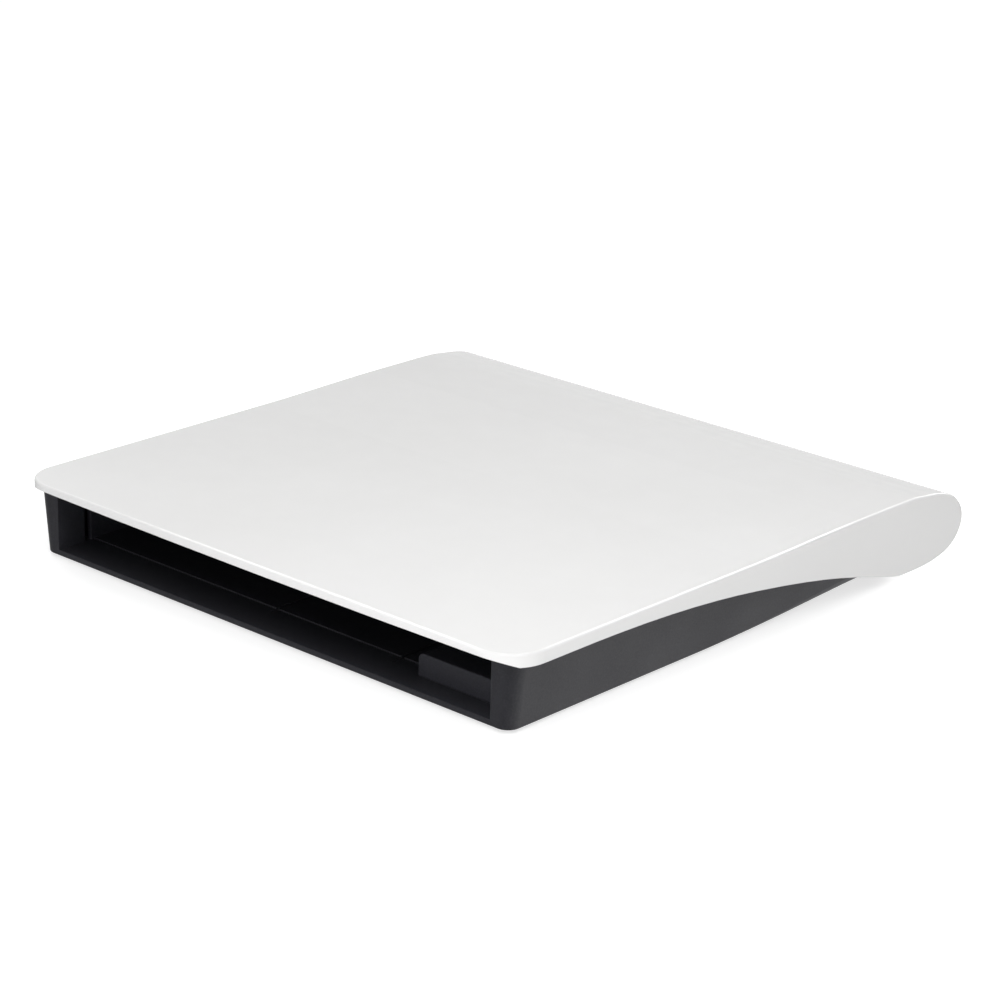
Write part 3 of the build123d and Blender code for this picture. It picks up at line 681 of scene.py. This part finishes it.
# ---- stage ----
def stage_mesh(name, corners, faces, look):
    """Piece of the stage. It doesn't show in reflections."""
    mesh = bpy.data.meshes.new(name)
    mesh.from_pydata(corners, [], faces)
    mesh.materials.append(look)
    piece = bpy.data.objects.new(name, mesh)
    bpy.context.scene.collection.objects.link(piece)
    piece.visible_glossy = False
    return piece


def stage_look(name, shade, glow):
    """Pale matt paint that also glows."""
    look = Look(name)
    look.color(look.mix(look.noise(3, 3), (shade,) * 3, (shade * 1.05,) * 3))
    look.set(Roughness=0.7, Emission_Color=(1, 1, 1, 1), Emission_Strength=glow)
    return look.material


def make_stage():
    """Plain pale floor, and a white wall far round it that takes no part in the lighting."""
    reach = 4.0
    floor = [(-reach, -reach, 0), (reach, -reach, 0), (reach, reach, 0), (-reach, reach, 0)]
    stage_mesh("floor", floor, [(0, 1, 2, 3)], stage_look("pale_floor", shade=0.44, glow=0.7))
    wall_radius = 3.9
    wall_height = 4.0
    segments = 48
    corners = []
    for z in (0.0, wall_height):
        for i in range(segments):
            angle = 2 * math.pi * i / segments
            corners.append((wall_radius * math.cos(angle), wall_radius * math.sin(angle), z))
    faces = []
    for i in range(segments):
        j = (i + 1) % segments
        faces.append((i, j, j + segments, i + segments))
    wall = stage_mesh("wall", corners, faces, stage_look("pale_wall", shade=0.44, glow=1.0))
    wall.visible_diffuse = False
    wall.visible_shadow = False


def area_light(name, place, size, power):
    """Rectangular lamp aimed at the middle of the object."""
    aim = Vector((0, 0, 10 * MM))
    data = bpy.data.lights.new(name, "AREA")
    data.shape = "RECTANGLE"
    data.size = size[0]
    data.size_y = size[1]
    data.energy = power
    light = bpy.data.objects.new(name, data)
    bpy.context.scene.collection.objects.link(light)
    light.location = place
    light.rotation_euler = (aim - place).to_track_quat("-Z", "Y").to_euler()
    return light


class Sky:
    """Studio surroundings as a world: brightness depends only on direction."""

    def __init__(self):
        """White world, whose brightness the ramps set."""
        world = bpy.data.worlds.new("studio")
        bpy.context.scene.world = world
        world.use_nodes = True
        self.tree = world.node_tree
        self.background = self.tree.nodes["Background"]
        self.background.inputs["Color"].default_value = (1, 1, 1, 1)
        place = self.tree.nodes.new("ShaderNodeTexCoord")
        self.direction = place.outputs["Generated"]
        self.total = None

    def ramp(self, direction, start, end, low, high):
        """Brightness that goes from low to high between two cosines of the angle to a direction."""
        dot = self.tree.nodes.new("ShaderNodeVectorMath")
        dot.operation = "DOT_PRODUCT"
        dot.inputs[1].default_value = Vector(direction).normalized()
        self.tree.links.new(self.direction, dot.inputs[0])
        ramp = self.tree.nodes.new("ShaderNodeMapRange")
        ramp.interpolation_type = "SMOOTHSTEP"
        ramp.inputs["From Min"].default_value = start
        ramp.inputs["From Max"].default_value = end
        ramp.inputs["To Min"].default_value = low
        ramp.inputs["To Max"].default_value = high
        self.tree.links.new(dot.outputs["Value"], ramp.inputs["Value"])
        return ramp.outputs[0]

    def join(self, operation, value):
        """Add a value to the brightness so far, or multiply the brightness by it."""
        if self.total is None:
            self.total = value
            return
        made = self.tree.nodes.new("ShaderNodeMath")
        made.operation = operation
        self.tree.links.new(self.total, made.inputs[0])
        self.tree.links.new(value, made.inputs[1])
        self.total = made.outputs[0]

    def finish(self):
        """Use the joined brightness."""
        self.tree.links.new(self.total, self.background.inputs["Strength"])


def cosine(degrees):
    """Cosine of an angle in degrees."""
    return math.cos(math.radians(degrees))


def make_light():
    """White studio: bright above, dim in front, with glows low at the back right, left and behind."""
    # Each ramp: direction, the cosines where it starts and ends, and the brightness at each.
    sky = Sky()
    sky.join("ADD", sky.ramp((0, 0, 1), 0.0, 0.8, 0.42, 0.75))
    sky.join("MULTIPLY", sky.ramp((0, 1, 0), -0.9, 0.3, 0.08, 1.0))
    sky.join("MULTIPLY", sky.ramp((1, 0, 0.2), 0.25, 0.9, 1.0, 0.3))
    sky.join("ADD", sky.ramp((0.7, 0.62, -0.34), cosine(60), cosine(10), 0.0, 0.25))
    sky.join("ADD", sky.ramp((-0.91, 0.24, 0.34), cosine(25), cosine(20), 0.0, 0.4))
    sky.join("ADD", sky.ramp((-0.62, 0.72, -0.32), cosine(42), cosine(14), 0.0, 0.3))
    sky.finish()
    # Each lamp: direction from the object, distance, size and power, in metres and watts. The fills
    # give no reflections.
    lamps = {
        "softbox_back": ((0.05, 0.70, 0.71), 0.9, (0.18, 0.18), 0.9),
        "softbox_back_low": ((-0.01, 0.89, 0.46), 0.9, (0.19, 0.54), 1.5),
        "softbox_left": ((-0.63, -0.05, 0.77), 0.9, (0.18, 0.18), 0.9),
        "fill_front_right": ((0.48, -0.48, 0.73), 0.4, (0.22, 0.22), 0.76),
        "fill_low_front": ((0.2, -0.96, 0.17), 0.42, (0.16, 0.16), 0.38),
    }
    for name, (direction, distance, size, power) in lamps.items():
        lamp = area_light(name, Vector(direction).normalized() * distance, size, power)
        lamp.visible_glossy = not name.startswith("fill")


make_camera()
finish_nodes()
detail_board()
make_stage()
make_light()
bpy.context.scene.view_settings.view_transform = "Standard"
